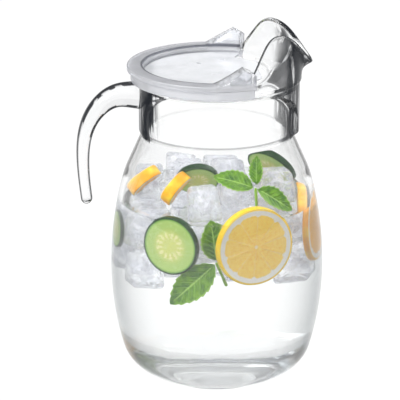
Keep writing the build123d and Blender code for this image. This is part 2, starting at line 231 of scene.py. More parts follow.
def heel(offset, heel_r, bottom_z, steps=12):
    """Points of the arc from the flat bottom to the flank."""
    middle_z = bottom_z + heel_r
    reach = flank_arc_r - offset - heel_r
    middle_r = belly_r - flank_arc_r + sqrt(reach ** 2 - (belly_z - middle_z) ** 2)
    last = atan2(middle_z - belly_z, middle_r - belly_r + flank_arc_r)
    return [(middle_r + heel_r * cos(a), middle_z + heel_r * sin(a))
            for a in np.linspace(-pi / 2, last, steps)]


def side(offset, heel_r, bottom_z, top_z, step=2.6):
    """Points of a wall from its bottom to top_z."""
    points = heel(offset, heel_r, bottom_z)
    rows = int((top_z - points[-1][1]) / step)
    heights = np.linspace(points[-1][1], top_z, rows + 1)[1:]
    return points + [(wall_r(z, offset), z) for z in heights]


def rounded(points, step=2.0, arc_steps=5):
    """Straight runs through (r, z, rounding) points, with arcs at the roundings."""
    path = []
    for i, (r, z, size) in enumerate(points):
        here = Vector((r, z))
        if size and 0 < i < len(points) - 1:
            before = (Vector(points[i - 1][:2]) - here).normalized()
            after = (Vector(points[i + 1][:2]) - here).normalized()
            half = before.angle(after) / 2
            cut = size / np.tan(half)
            middle = here + (before + after).normalized() * size / sin(half)
            first, last = here + before * cut - middle, here + after * cut - middle
            for share in np.linspace(0, 1, arc_steps):
                spoke = first.lerp(last, share).normalized() * size
                path.append(middle + spoke)
        else:
            path.append(here)
    fine = [path[0]]
    for point in path[1:]:
        runs = max(1, int((point - fine[-1]).length / step))
        start = fine[-1]
        fine += [start.lerp(point, (k + 1) / runs) for k in range(runs)]
    return [(p.x, p.y) for p in fine]


def evenly(path, count):
    """The same path with its points spread evenly along it."""
    path = np.array(path)
    along = np.concatenate([[0], np.cumsum(np.hypot(*np.diff(path, axis=0).T))])
    at = np.linspace(0, along[-1], count)
    return list(zip(np.interp(at, along, path[:, 0]), np.interp(at, along, path[:, 1])))


def spun(name, profile, columns):
    """Turns a line of (r, z) points, in millimetres, about the Z axis."""
    bpy.ops.object.select_all(action="DESELECT")
    bpy.ops.mesh.primitive_circle_add(vertices=len(profile), fill_type="NOTHING")
    piece = bpy.context.object
    piece.name = name
    for vertex, (r, z) in zip(piece.data.vertices, profile):
        vertex.co = (r * MM, 0, z * MM)
    bpy.ops.object.mode_set(mode="EDIT")
    lines = bmesh.from_edit_mesh(piece.data)
    lines.edges.ensure_lookup_table()
    ends = {0, len(profile) - 1}
    closing = [edge for edge in lines.edges if {vertex.index for vertex in edge.verts} == ends]
    bmesh.ops.delete(lines, geom=closing, context="EDGES_FACES")
    bmesh.update_edit_mesh(piece.data)
    bpy.ops.mesh.select_all(action="SELECT")
    bpy.ops.mesh.spin(steps=columns, angle=2 * pi, center=(0, 0, 0), axis=(0, 0, 1))
    bpy.ops.mesh.select_all(action="SELECT")
    bpy.ops.mesh.remove_doubles(threshold=2e-6)
    bpy.ops.mesh.normals_make_consistent(inside=False)
    bpy.ops.object.mode_set(mode="OBJECT")
    return piece


def smooth_through(at, values, start_slope=None, end_slope=None):
    """Second derivatives of the cubic through the values; natural ends where no slope is given."""
    at, values = np.array(at, float), np.array(values, float)
    n, gap, rise = len(at), np.diff(at), np.diff(values) / np.diff(at)
    matrix, right = np.zeros((n, n)), np.zeros(n)
    for i in range(1, n - 1):
        matrix[i, i - 1:i + 2] = gap[i - 1], 2 * (gap[i - 1] + gap[i]), gap[i]
        right[i] = 6 * (rise[i] - rise[i - 1])
    matrix[0, 0] = matrix[-1, -1] = 1
    if start_slope is not None:
        matrix[0, :2], right[0] = (2 * gap[0], gap[0]), 6 * (rise[0] - start_slope)
    if end_slope is not None:
        matrix[-1, -2:], right[-1] = (gap[-1], 2 * gap[-1]), 6 * (end_slope - rise[-1])
    bend = np.linalg.solve(matrix, right)

    def curve(x):
        x = np.clip(np.asarray(x, float), at[0], at[-1])
        i = np.clip(np.searchsorted(at, x) - 1, 0, n - 2)
        h, left, rest = gap[i], x - at[i], at[i + 1] - x
        return (bend[i] * rest ** 3 + bend[i + 1] * left ** 3) / (6 * h) \
            + (values[i] / h - bend[i] * h / 6) * rest + (values[i + 1] / h - bend[i + 1] * h / 6) * left
    return curve


# the outline, from the middle of the foot up the outside, over the rim and down the bore
ring_r = foot_r - foot_ring_width
foot_path = rounded([(0, foot_hollow, 0), (ring_r - foot_slope_width, foot_hollow, 3.0), (ring_r, 0, 2.0),
                     (foot_r, 0, 0.6), (foot_r + foot_splay, heel_lift, 0.5),
                     (heel(0, heel_arc_r, heel_lift)[0][0] - 0.5, heel_lift, 0)], 3.0)
neck_path = rounded([(wall_r(outer_top_z), outer_top_z, 0),
                     (wall_r(shoulder_z), shoulder_z, shoulder_rounding),
                     (waist_r, waist_z, 5.0), (neck_r, waist_z + waist_flare, 12.0),
                     (neck_r, rim_top_z - rim_height - rim_flare, 3.0), (rim_r, rim_top_z - rim_height, 1.5),
                     (rim_r, wing_root_z, 0)], 0.75)
cap_path = evenly(rounded([(rim_r, wing_root_z, 0), (rim_r, rim_top_z, 2.6), (mouth_r, rim_top_z, 1.4),
                           (mouth_r, wing_root_z, 0)], 0.3, 9), cap_rows)
bore_path = rounded([(mouth_r, wing_root_z, 0), (mouth_r, rim_top_z - mouth_depth, 0.4),
                     (neck_r - wall, rim_top_z - mouth_depth - mouth_flare, 3.0),
                     (neck_r - wall - bore_taper, bore_foot_z, 2.0),
                     (wall_r(inner_top_z, wall), inner_top_z, 0)], 1.6)
outside = side(0, heel_arc_r, heel_lift, outer_top_z)
inside = side(wall, inner_heel_arc_r, base_thickness, inner_top_z)
first_neck = len(foot_path) + len(outside) - 1
first_cap = first_neck + len(neck_path) - 1
profile = (foot_path + outside + neck_path[1:-1] + cap_path + bore_path[1:-1] + inside[::-1]
           + [(0, base_thickness)])
jug = spun("jug_glass", profile, glass_columns)

# which row of the profile each point of the skin lies on, and its angle from the spout
co = np.zeros(len(jug.data.vertices) * 3)
jug.data.vertices.foreach_get("co", co)
co = co.reshape(-1, 3) / MM
rows = np.array(profile)
radius, angle, height = np.hypot(co[:, 0], co[:, 1]), np.arctan2(co[:, 1], co[:, 0]), co[:, 2]
row = np.array([np.argmin((rows[:, 0] - r) ** 2 + (rows[:, 1] - z) ** 2) for r, z in zip(radius, height)])


def smooth_step(low, high, value):
    share = np.clip((value - low) / (high - low), 0, 1)
    return share * share * (3 - 2 * share)


# the collar: a thicker band, a little off centre towards the spout, without its face where the arch is
collar_outer_r, collar_off_centre, collar_blend = 56.1, 1.4, 0.45
collar_foot_z, collar_full_z = 176.2, 180.5
arch_flat_half, arch_half_width = 31.0, 50.5
arch_spring_z, arch_top_z = 190.5, 214.5
on_neck = (row > first_neck) & (row < first_cap + 4)
collar_r = (collar_off_centre * np.cos(angle)
            + np.sqrt(collar_outer_r ** 2 - (collar_off_centre * np.sin(angle)) ** 2))
# the arch's corner is an arc through three points, from its flat top to its upright side
arch_x, arch_z = np.array([(arch_flat_half, arch_top_z), (45.04, 206.34), (arch_half_width, arch_spring_z)]).T
circle = np.linalg.solve(np.stack([2 * arch_x, 2 * arch_z, np.ones(3)], 1), arch_x ** 2 + arch_z ** 2)
arch_r = sqrt(circle[2] + circle[0] ** 2 + circle[1] ** 2)
across = np.abs(radius * np.cos(angle))
into_arch = np.where((across > arch_flat_half) & (height > arch_spring_z),
                     arch_r - np.hypot(across - circle[0], height - circle[1]),
                     np.where(height > arch_spring_z, arch_top_z - height, arch_half_width - across))
full = smooth_step(1.0, -1.0, into_arch) * smooth_step(collar_foot_z, collar_full_z, height)
raised = neck_r + (collar_r - neck_r) * full
# a soft maximum of the two radii rounds the band's edges; where the two agree, its excess comes off
soft = (np.logaddexp(raised / collar_blend, radius / collar_blend) * collar_blend
        - collar_blend * np.log(2.0) * (np.abs(raised - radius) < 0.2))
radius = np.where(on_neck & (raised > neck_r + 0.05), np.maximum(soft, radius), radius)

# the wings: the rim's skin drawn up to the edge line, which falls to the lip in the middle.
# Each station has its angle from the spout, and the radius and height of the edge there.
wing_end, wing_start = 68.3, 65.4
wing_root_r, wing_bulge_r, wing_bulge_share = 56.05, 57.0, 0.62
root_half_wall, wing_thinning, edge_half_wall = 2.55, 0.9, 1.65
crown_start = 0.44
stations = ((0.0, 64.6, 229.7), (9.0, 61.2, 235.0), (20.0, 54.0, 247.0), (31.0, 48.4, 252.0),
            (43.0, 46.2, 249.5), (55.0, 47.6, 240.0), (66.5, 51.6, 228.5))
angles = [-a for a, _, _ in stations[:0:-1]] + [a for a, _, _ in stations]
edge_r_at = smooth_through(angles, [r for _, r, _ in stations[:0:-1]] + [r for _, r, _ in stations])
edge_z_at = smooth_through(angles, [z for _, _, z in stations[:0:-1]] + [z for _, _, z in stations])
turn = np.degrees(angle)
drawn = smooth_step(wing_end, wing_start, np.abs(turn))
on_cap = (row >= first_cap) & (row < first_cap + cap_rows) & (drawn > 0)
share = np.where(on_cap, (row - first_cap) / (cap_rows - 1), 0)
start = np.array([wing_root_r, wing_root_z])
end = np.stack([edge_r_at(turn), edge_z_at(turn) - edge_half_wall], 1)
bulge_z = wing_root_z + wing_bulge_share * (end[:, 1] - wing_root_z)
control = np.stack([np.full(len(turn), wing_bulge_r), bulge_z], 1)
along = np.clip(np.where(share < 0.5, share, 1 - share) / crown_start, 0, 1)[:, None]
centre = (1 - along) ** 2 * start + 2 * along * (1 - along) * control + along ** 2 * end
heading = 2 * (1 - along) * (control - start) + 2 * along * (end - control)
heading /= np.linalg.norm(heading, axis=1)[:, None]
outwards = np.stack([heading[:, 1], -heading[:, 0]], 1)
half_wall = root_half_wall - wing_thinning * smooth_step(0, 0.6, along)
swing = np.clip((share - crown_start) / (1 - 2 * crown_start), 0, 1)[:, None] * pi
skin = centre + half_wall * (np.cos(swing) * outwards + np.sin(swing) * heading)
keep = (drawn * on_cap)[:, None]
place = (1 - keep) * np.stack([radius, height], 1) + keep * skin
co = np.stack([place[:, 0] * np.cos(angle), place[:, 0] * np.sin(angle), place[:, 1]], 1) * MM
jug.data.vertices.foreach_set("co", co.ravel())
jug.data.update()

# the handle: a hook of flattened round sections, thick at its root, where it leaves the collar
# level, and ending in a tip that points down
hook_points = ((-51.0, 204.6), (-70.0, 204.4), (-86.4, 191.2), (-94.1, 158.0), (-91.6, 127.2))
chord = np.concatenate([[0], np.cumsum(np.hypot(*np.diff(np.array(hook_points), axis=0).T))])
hook_x = smooth_through(chord, [p[0] for p in hook_points], -1.0, 0.12)
hook_z = smooth_through(chord, [p[1] for p in hook_points], 0.0, -1.0)
hook_rings, hook_sides, end_rounding = 64, 48, 3.0
tip_thickness, root_thickness, thickness_taper = 8.2, 20.0, 2.2
tip_width, root_width, roundness = 14.5, 22.0, 0.9


def hook_ring(at, shrink=1.0):
    """One section of the handle, at a length along it."""
    share = at / chord[-1]
    thickness = tip_thickness + (root_thickness - tip_thickness) * (1 - share) ** thickness_taper
    width = tip_width + (root_width - tip_width) * (1 - share)
    d = np.array([hook_x(at + 0.01) - hook_x(at - 0.01), hook_z(at + 0.01) - hook_z(at - 0.01)])
    d /= np.hypot(*d)
    ring = []
    for k in range(hook_sides):
        a = 2 * pi * k / hook_sides
        u = abs(cos(a)) ** roundness * np.sign(cos(a)) * (width / 2 - end_rounding * (1 - shrink))
        v = abs(sin(a)) ** roundness * np.sign(sin(a)) * (thickness / 2 - end_rounding * (1 - shrink))
        ring.append(Vector((hook_x(at) - v * d[1], u, hook_z(at) + v * d[0])) * MM)
    return ring


def drawn_out(name, rings):
    """A circle set on the first ring and extruded from ring to ring."""
    bpy.ops.object.select_all(action="DESELECT")
    bpy.ops.mesh.primitive_circle_add(vertices=len(rings[0]), fill_type="NGON")
    piece = bpy.context.object
    piece.name = name
    for vertex, point in zip(piece.data.vertices, rings[0]):
        vertex.co = point
    bpy.ops.object.mode_set(mode="EDIT")
    bpy.ops.mesh.select_all(action="SELECT")
    for before, after in zip(rings, rings[1:]):
        bpy.ops.mesh.extrude_region_move()
        shape = bmesh.from_edit_mesh(piece.data)
        old = np.array(before)
        for vertex in shape.verts:
            if vertex.select:
                vertex.co = after[int(np.argmin(((old - np.array(vertex.co)) ** 2).sum(1)))]
        bmesh.update_edit_mesh(piece.data)
    bpy.ops.mesh.select_all(action="SELECT")
    bpy.ops.mesh.normals_make_consistent(inside=False)
    bpy.ops.object.mode_set(mode="OBJECT")
    return piece


rings = [hook_ring(at) for at in np.linspace(1.2, chord[-1] - end_rounding, hook_rings)]
rings += [hook_ring(chord[-1] - end_rounding * (1 - sin(a)), cos(a)) for a in np.linspace(0.2, pi / 2, 6)]
hook = drawn_out("hook", rings)


def apply_modifier(piece, name, kind, **settings):
    """Adds a modifier and makes its result the piece's mesh."""
    modifier = piece.modifiers.new(name, kind)
    for key, value in settings.items():
        setattr(modifier, key, value)
    bpy.ops.object.select_all(action="DESELECT")
    bpy.context.view_layer.objects.active = piece
    piece.select_set(True)
    bpy.ops.object.modifier_apply(modifier=name)


apply_modifier(jug, "fused handle", "BOOLEAN", operation="UNION", object=hook, solver="MANIFOLD")
bpy.data.objects.remove(hook)
bpy.ops.object.shade_smooth_by_angle(angle=radians(50))

# clear glass with a faint tint in its thick parts, and painted shade, grey in thin glass and near
# black in thick, where it is seen edge-on and in dark strokes, standing in for the dark surroundings it
# refracts.
# Each mask is 1 in one part of the jug, by its height, its place along X or its distance from
# the axis, in metres.
thin_tint, thick_tint = (0.997, 1.0, 0.999), (0.955, 0.96, 0.965)
painted_edge_grey, painted_shade_colour = (0.28, 0.30, 0.31), (0.012, 0.014, 0.018)
glass = Finish("clear glass")
facing = glass.add("ShaderNodeLayerWeight", None, {"Blend": 0.5}, "Facing")
way_x, way_y, way_z = glass.split(glass.add("ShaderNodeNewGeometry", None, None, "Normal"))
lean = way_z.math("ABSOLUTE").ramp(0.75, 0.4)
x, y, z = glass.split(glass.add("ShaderNodeTexCoord", output="Object"))
out = (x * x + y * y) ** 0.5
beyond_belly = (z.ramp(0.180, 0.184) + out.ramp(0.0765, 0.078)).math("MINIMUM", 1.0)
handle = x.ramp(-0.058, -0.064) * beyond_belly
collar = z.ramp(0.1755, 0.179) * x.math("ABSOLUTE").ramp(0.040, 0.048)
wings = z.ramp(0.217, 0.221) * x.ramp(0.0, 0.01)
thick = (handle + collar + wings).math("MINIMUM", 1.0)
thin = 1.0 - thick
filled = z.ramp(0.131, 0.127)
# painted shade where the glass is seen edge-on: more of it below the water line, and on the collar and handle
edge = lean * (filled * facing.ramp(0.2, 0.75) + 0.8 * (1.0 - filled) * facing.ramp(0.62, 1.0)) * thin
edge = edge + facing.ramp(0.3, 0.75) * collar + facing.ramp(0.5, 0.95) * (handle + 0.15 * wings)
tint_and_painted_edge_shade = glass.blend(edge.math("MINIMUM", 1.0), glass.blend(thick, thin_tint, thick_tint),
                   glass.blend(thick, painted_edge_grey, painted_shade_colour))
clear = glass.add("ShaderNodeBsdfPrincipled", None, {
    "Base Color": tint_and_painted_edge_shade, "Roughness": 0.0, "IOR": 1.5, "Transmission Weight": 1.0})
# a near-black gloss, mixed over the clear glass as painted shade in dark strokes
painted_shade = glass.add("ShaderNodeBsdfPrincipled", None, {
    "Base Color": (*painted_shade_colour, 1), "Roughness": 0.15, "IOR": 1.12})
# where the painted shade goes, in dark strokes: streaks down the collar, the crown of the wings, the
# foot of the bore as seen from inside the glass, flecks in the near side of the lip, and every edge-on part
streaks = glass.grain(170.0, 2.0, (1, 1, 0.12))
sideways = ((way_x * x + way_y * y) / out).math("ABSOLUTE").ramp(0.5, 0.2)
crown = wings * sideways * z.ramp(0.225, 0.229) * x.ramp(0.060, 0.052)
leaving = glass.add("ShaderNodeNewGeometry", None, None, "Backfacing")
bore_foot = leaving * z.ramp(0.1790, 0.1796) * z.ramp(0.1808, 0.1802) * out.ramp(0.0515, 0.0505)
flecks = glass.grain(110.0, 2.0, (1, 1, 0.6)).ramp(0.50, 0.54)
near_lip = flecks * wings * x.ramp(0.050, 0.056) * z.ramp(0.236, 0.230) * facing.ramp(0.35, 0.6)
# how much painted shade each part gets; the collar's strokes are heavier on the handle's side
side_share = 1.4 - 0.5 * x.ramp(-0.02, 0.02)
painted_stroke_share = side_share * collar * facing.ramp(0.30, 0.48) * streaks.ramp(0.41, 0.50) + 0.9 * crown
painted_stroke_share = painted_stroke_share + 0.8 * wings * facing.ramp(0.80, 0.93)
painted_stroke_share = painted_stroke_share + 0.9 * handle * facing.ramp(0.40, 0.66) + 0.45 * bore_foot + 0.95 * near_lip
painted_stroke_share = painted_stroke_share + (0.85 - 0.4 * filled) * lean * thin * facing.ramp(0.88, 0.985)
with_painted_strokes = glass.mixed(painted_stroke_share.math("MINIMUM", 0.95), clear, painted_shade)
jug.data.materials.clear()
jug.data.materials.append(glass.done(glass.lit_through(with_painted_strokes, 1.0)))
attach(jug, "jug")
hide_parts("glass_jug", "glass_handle")


# Lid. A milky, nearly clear plastic moulding pressed over the rim: cap ring,
# skirt, sunk floor with the mark of its gate, and two hollow ears beside the
# spout. Its shape is the CAD's own, shaded smooth.
bpy.ops.object.select_all(action="DESELECT")
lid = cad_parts["lid"].copy()
lid.data = lid.data.copy()
lid.name = "lid_moulding"
for key in list(lid.keys()):
    del lid[key]
lid.parent = None
scene.collection.objects.link(lid)
bpy.context.view_layer.objects.active = lid
lid.select_set(True)
bpy.ops.object.mode_set(mode="EDIT")
bpy.ops.mesh.select_all(action="SELECT")
bpy.ops.mesh.remove_doubles(threshold=2e-6)
bpy.ops.object.mode_set(mode="OBJECT")
bpy.ops.object.shade_smooth_by_angle(angle=radians(35))
apply_modifier(lid, "even shading", "WEIGHTED_NORMAL", keep_sharp=True, weight=100)

# part clear, part milky, with painted shade: a dark line along the ring's inner edge and its foot,
# and darker faces where they are seen edge-on
milky = Finish("milky plastic")
cloud = milky.grain(60.0, 3.0)
facing = milky.add("ShaderNodeLayerWeight", None, {"Blend": 0.5}, "Facing")
way = milky.add("ShaderNodeNewGeometry", None, None, "Normal")
lean = milky.split(way)[2].math("ABSOLUTE").ramp(0.8, 0.5)
x, y, z = milky.split(milky.add("ShaderNodeTexCoord", output="Object"))
out = (x * x + y * y) ** 0.5
ear = z.ramp(0.2268, 0.2280)
# painted shade along the ring's inner top edge and, at half strength, in the corner at its foot
lip = out.ramp(0.0510, 0.0515) * out.ramp(0.0538, 0.0529) * z.ramp(0.2246, 0.2256) * (1.0 - ear)
corner = out.ramp(0.0500, 0.0515) * out.ramp(0.0533, 0.0526) * z.ramp(0.2232, 0.2222)
painted_groove_shade = lip + 0.5 * corner
ring = out.ramp(0.0522, 0.0535) * (1.0 - ear)
pale = milky.blend(cloud, paint(244, 245, 249), paint(250, 251, 253))
pale = milky.blend(ring * 0.6, pale, paint(212, 213, 219))
pale = milky.blend(painted_groove_shade, pale, paint(96, 99, 110))
# the clear part's colour darkens on steep faces seen edge-on: painted shade
clear = milky.add("ShaderNodeBsdfPrincipled", None, {
    "Base Color": milky.blend(lean * facing.ramp(0.3, 0.9), pale, paint(140, 143, 156)),
    "Roughness": 0.1, "IOR": 1.49, "Transmission Weight": 1.0})
# the milky ring's own grey, with painted shade where it is seen edge-on
ring_grey_and_painted_edge_shade = milky.blend(facing.ramp(0.5, 1.0), paint(206, 207, 210), paint(146, 148, 156))
solid = milky.blend(painted_groove_shade, milky.blend(ring, paint(229, 231, 234), ring_grey_and_painted_edge_shade), paint(92, 95, 106))
body = milky.add("ShaderNodeBsdfPrincipled", None, {"Base Color": solid, "Roughness": 0.3, "IOR": 1.49})
milkiness = (0.24 + 0.12 * cloud + 0.1 * ring) * (1.0 - 0.5 * ear)
lid.data.materials.clear()
lid.data.materials.append(milky.done(milky.lit_through(milky.mixed(milkiness, clear, body), 0.9)))
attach(lid, "lid")
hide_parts("lid")


# Water. Still, up to the ice. Its skin lies just inside the glass wall's own,
# so that no film of air shows between the two, and climbs a little where it
# meets the wall.
water_z, water_columns = 129.0, 240
into_glass, climb, climb_reach = 0.15, 0.9, 1.1
ripple_height, ripple_strength = 0.0006, 0.35
slice_clearance = 0.7
# the slices that stand against the glass: azimuth, height, radius and thickness
front_lemon, right_lemon = (-69.0, 112.2, 27.2, 6.0), (-7.0, 112.0, 26.5, 6.0)
front_cucumber = (-122.2, 112.5, 20.3, 5.0)
water_foot_z = base_thickness - into_glass
water_side = side(wall - into_glass, inner_heel_arc_r + into_glass, water_foot_z, water_z + climb)
water_top = [(wall_r(water_z, wall) - d, water_z + climb * np.exp(-d / climb_reach))
             for d in (0.5, 1.2, 2.2, 3.4, 4.6, 5.8, 7, 8.2, 9.4, 11)]


def slice_reach(height, slice_r, thickness):
    """How far from the axis a slice stands whose rim leans on the glass at this height."""
    heights = np.linspace(-slice_r, slice_r, 13)
    return min(sqrt(wall_r(height + up, wall + slice_clearance) ** 2 - slice_r * slice_r + up * up)
               - thickness / 2 for up in heights)


water = spun("water_body", [(0, water_foot_z)] + water_side + water_top + [(30, water_z), (0, water_z)],
             water_columns)
# in front of a standing slice the water's edge is drawn up, so that no water line crosses the slice
edge_r = 50.0
for vertex in water.data.vertices:
    p = vertex.co / MM
    if p.z > water_z - 0.05 and p.x ** 2 + p.y ** 2 > edge_r ** 2:
        heights = [water_z]
        for azimuth, slice_z, slice_r, thickness in (front_lemon, right_lemon, front_cucumber):
            c, s = cos(radians(azimuth)), sin(radians(azimuth))
            ahead = p.x * c + p.y * s - slice_reach(slice_z, slice_r, thickness)
            off = p.y * c - p.x * s
            if ahead > 0 and abs(off) < slice_r - 1.0:
                heights.append(slice_z + sqrt((slice_r - 0.8) ** 2 - off ** 2))
        up = max(heights) - water_z
        r = wall_r(p.z + up, wall) - wall_r(p.z, wall) + sqrt(p.x ** 2 + p.y ** 2)
        vertex.co = Vector((p.x, p.y, 0)).normalized() * r * MM + Vector((0, 0, p.z + up)) * MM
bpy.ops.object.shade_smooth_by_angle(angle=radians(60))
wet = Finish("water")
ripples = wet.grain(70.0, 1.0)
wet_shader = wet.add("ShaderNodeBsdfPrincipled", None, {
    "Base Color": (0.985, 0.995, 0.998, 1), "Roughness": 0.0, "IOR": 1.333, "Transmission Weight": 1.0,
    "Normal": wet.relief(ripples, ripple_height, ripple_strength)})
water.data.materials.clear()
water.data.materials.append(wet.done(wet.lit_through(wet_shader, 1.0)))
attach(water, "jug")
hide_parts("water")


# Ice. Tapered blocks from a tray, their edges melted round. They froze from the
# outside in, so each has a cloudy core and some milky veils. They lie in three
# loose layers, one to a cell of a lattice.
def turned(x=0.0, y=0.0, z=0.0):
    """A turn about X, then about the new Y, then about the new Z, in degrees."""
    about_x, about_y, about_z = (Matrix.Rotation(radians(angle), 4, axis)
                                 for angle, axis in zip((x, y, z), "XYZ"))
    return about_x @ about_y @ about_z


def moved(x, y, z):
    return Matrix.Translation(Vector((x, y, z)) * MM)


ice_width, ice_height, ice_taper, ice_pitch = 24.0, 22.0, 5.0, 29.0
ice_rounding, dent_depth = 3.4, 0.075
ice_tilt, ice_twist, ice_bob = 6.0, 9.0, 2.2
core_size, veil_size, veils = (5.6, 5.6, 6.2), (6.0, 4.4, 0.35), 2
veil_aside, veil_rise = 3.2, 2.5
# each layer's height, turn and shift, and the cells where a piece of fruit lies instead
ice_layers = ((137.5, 8.0, (-3.3, 2.6), (0, 3, 6, 11)), (111.0, 8.0, (-4.4, 3.0), (3, 6)),
              (86.0, 8.0, (-3.0, 3.0), (2, 3, 5, 6, 9)))
ice_places = []
for layer_z, layer_turn, shift, skipped in ice_layers:
    cells = [(i, j) for i in range(4) for j in range(4) if i in (1, 2) or j in (1, 2)]
    for number, (i, j) in enumerate(cells):
        if number not in skipped:
            wobble = 2.4 * number + layer_z
            lean = turned(ice_tilt * sin(wobble), ice_tilt * cos(1.7 * wobble), ice_twist * sin(2.9 * wobble))
            ice_places.append(moved(*shift, layer_z + ice_bob * sin(1.3 * wobble)) @ turned(z=layer_turn)
                              @ moved((i - 1.5) * ice_pitch, (j - 1.5) * ice_pitch, 0) @ lean)

bpy.ops.object.select_all(action="DESELECT")
bpy.ops.mesh.primitive_cube_add(size=1.0)
block = bpy.context.object
block.name = "ice_pattern"
top_share = (ice_width - 2 * ice_height * np.tan(radians(ice_taper))) / ice_width
for vertex in block.data.vertices:
    narrow = top_share if vertex.co.z > 0 else 1.0
    x, y, z = vertex.co
    vertex.co = Vector((x * ice_width * narrow, y * ice_width * narrow, z * ice_height)) * MM
bpy.ops.object.mode_set(mode="EDIT")
bpy.ops.mesh.select_all(action="SELECT")
bpy.ops.mesh.bevel(offset=ice_rounding * MM, segments=4, affect="EDGES")
bpy.ops.mesh.select_all(action="SELECT")
bpy.ops.mesh.subdivide(number_cuts=3, smoothness=0.0)
bpy.ops.object.mode_set(mode="OBJECT")

bpy.ops.object.select_all(action="DESELECT")
bpy.ops.mesh.primitive_ico_sphere_add(subdivisions=4, radius=1.0)
cloud_pattern = bpy.context.object
cloud_pattern.name = "cloud_pattern"

ice = Finish("ice")
veins = ice.grain(160.0, 4.0, distortion=1.2)
frost = ice.grain(55.0, 3.0)
clear = ice.add("ShaderNodeBsdfPrincipled", None, {
    "Base Color": ice.blend(veins.ramp(0.54, 0.6), paint(252, 253, 255), paint(228, 231, 236)),
    "Roughness": 0.01 + 0.06 * frost.ramp(0.5, 0.75), "IOR": 1.31,
    "Transmission Weight": 1.0, "Normal": ice.relief(veins, 0.003, 0.9)})
rime = ice.add("ShaderNodeBsdfPrincipled", None, {
    "Base Color": (*paint(238, 239, 247), 1), "Roughness": 0.4, "IOR": 1.31})
ice_finish = ice.done(ice.lit_through(ice.mixed(0.05 + 0.2 * frost.ramp(0.46, 0.7), clear, rime), 1.0))

milk = Finish("ice cloud")
wisps = milk.grain(240.0, 3.0, distortion=0.8)
cloud_finish = milk.done(milk.add("ShaderNodeBsdfPrincipled", None, {
    "Base Color": (*paint(244, 244, 250), 1), "Roughness": 0.6, "IOR": 1.2,
    "Alpha": 0.12 + 0.5 * wisps.ramp(0.42, 0.68)}))


def lumpy(points, seed, coarse, depth):
    """Noise of about -depth to depth at each point, in millimetres."""
    return np.array([noise.noise(Vector(p) * coarse + seed) * depth for p in points])


def vertex_table(piece):
    table = np.zeros(len(piece.data.vertices) * 3)
    piece.data.vertices.foreach_get("co", table)
    return table.reshape(-1, 3)


def ice_object(name, pattern, points, place, finish):
    """A copy of the pattern with its points moved, then set down at its place."""
    piece = bpy.data.objects.new(name, pattern.data.copy())
    scene.collection.objects.link(piece)
    piece.data.vertices.foreach_set("co", (points * MM).ravel())
    piece.data.transform(place)
    piece.data.materials.clear()
    piece.data.materials.append(finish)
    return piece


block_points, ball = vertex_table(block) / MM, vertex_table(cloud_pattern)
for number, place in enumerate(ice_places, 1):
    seed = Vector((17.3 * number, 5.1 * number, 0))
    dent = np.maximum(0, lumpy(block_points, seed, 0.09, 1.1) + lumpy(block_points, seed, 0.25, 0.4))
    dented = block_points * (1 - dent_depth * dent)[:, None]
    cube = ice_object(f"ice_{number:02d}", block, dented, place, ice_finish)
    swollen = 1 + lumpy(ball * 6.0, seed, 0.22, 0.6)
    inside = [ice_object("core", cloud_pattern, ball * swollen[:, None] * core_size, place, cloud_finish)]
    for k in range(veils):
        tilt = turned(90 * sin(5.1 * number + 2.3 * k), 80 * cos(3.3 * number + k), 0)
        where = moved(veil_aside * sin(number + 2 * k), veil_aside * cos(2.1 * number + k),
                      veil_rise * sin(1.7 * number + k))
        rough = 1 + lumpy(ball * 8.0, seed * (k + 2), 0.3, 0.5)
        inside.append(ice_object("veil", cloud_pattern, ball * rough[:, None] * veil_size,
                                 place @ where @ tilt, cloud_finish))
    bpy.ops.object.select_all(action="DESELECT")
    for piece in (*inside, cube):
        piece.select_set(True)
    bpy.context.view_layer.objects.active = cube
    bpy.ops.object.join()
    bpy.ops.object.shade_smooth()
    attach(cube, "jug")
    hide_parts(f"ice_cube_{number:02d}")
bpy.data.objects.remove(block)
bpy.data.objects.remove(cloud_pattern)


# Lemon. Fresh slices and half slices: waxy yellow rind, white pith, and
# segments of wet flesh between thin skins. They stand against the glass or
# float on the ice.
lemon_rounding, lemon_segments, segment_depth = 1.4, 10, 0.25
wedge_r, wedge_thickness = 12.0, 8.5


def disc(name, r, thickness, rounding, columns=120):
    """A thin round slice in XY with rounded edges."""
    half = thickness / 2
    path = rounded([(0, half, 0), (r, half, rounding), (r, -half, rounding), (0, -half, 0)], 0.8)
    return spun(name, path[::-1], columns)


def keep_flat_map(piece, r):
    """Keeps each point's place across the slice, in shares of its radius, as the piece's UV map."""
    layer = piece.data.uv_layers.new(name="slice")
    for loop in piece.data.loops:
        p = piece.data.vertices[loop.vertex_index].co / MM
        layer.data[loop.index].uv = (0.5 + p.x / r / 2, 0.5 + p.y / r / 2)


def slice_polar(finish):
    """Share of the radius and the angle, from the piece's UV map."""
    spot = finish.add("ShaderNodeUVMap", {"uv_map": "slice"})
    x, y, _ = [(part - 0.5) * 2.0 for part in finish.split(spot)]
    return (x * x + y * y) ** 0.5, y.math("ARCTAN2", x), spot


def standing(azimuth, z, r, thickness):
    """On its rim, with its face against the glass at this azimuth."""
    reach, a = slice_reach(z, r, thickness), radians(azimuth)
    return moved(reach * cos(a), reach * sin(a), z) @ turned(z=azimuth) @ turned(y=90)


def lying(centre, rind_way, face_way):
    """With its rind and its face turned these ways."""
    face = Vector(face_way).normalized()
    rind = (Vector(rind_way) - face * face.dot(Vector(rind_way))).normalized()
    return moved(*centre) @ Matrix((rind, face.cross(rind), face)).transposed().to_4x4()


def set_down(piece, place, finish, node):
    """Puts a finished piece at its place, for the node that it stands for."""
    piece.data.transform(place)
    piece.data.update()
    piece.data.materials.clear()
    piece.data.materials.append(finish)
    bpy.ops.object.shade_smooth_by_angle(angle=radians(50))
    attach(piece, "jug")
    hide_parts(node)


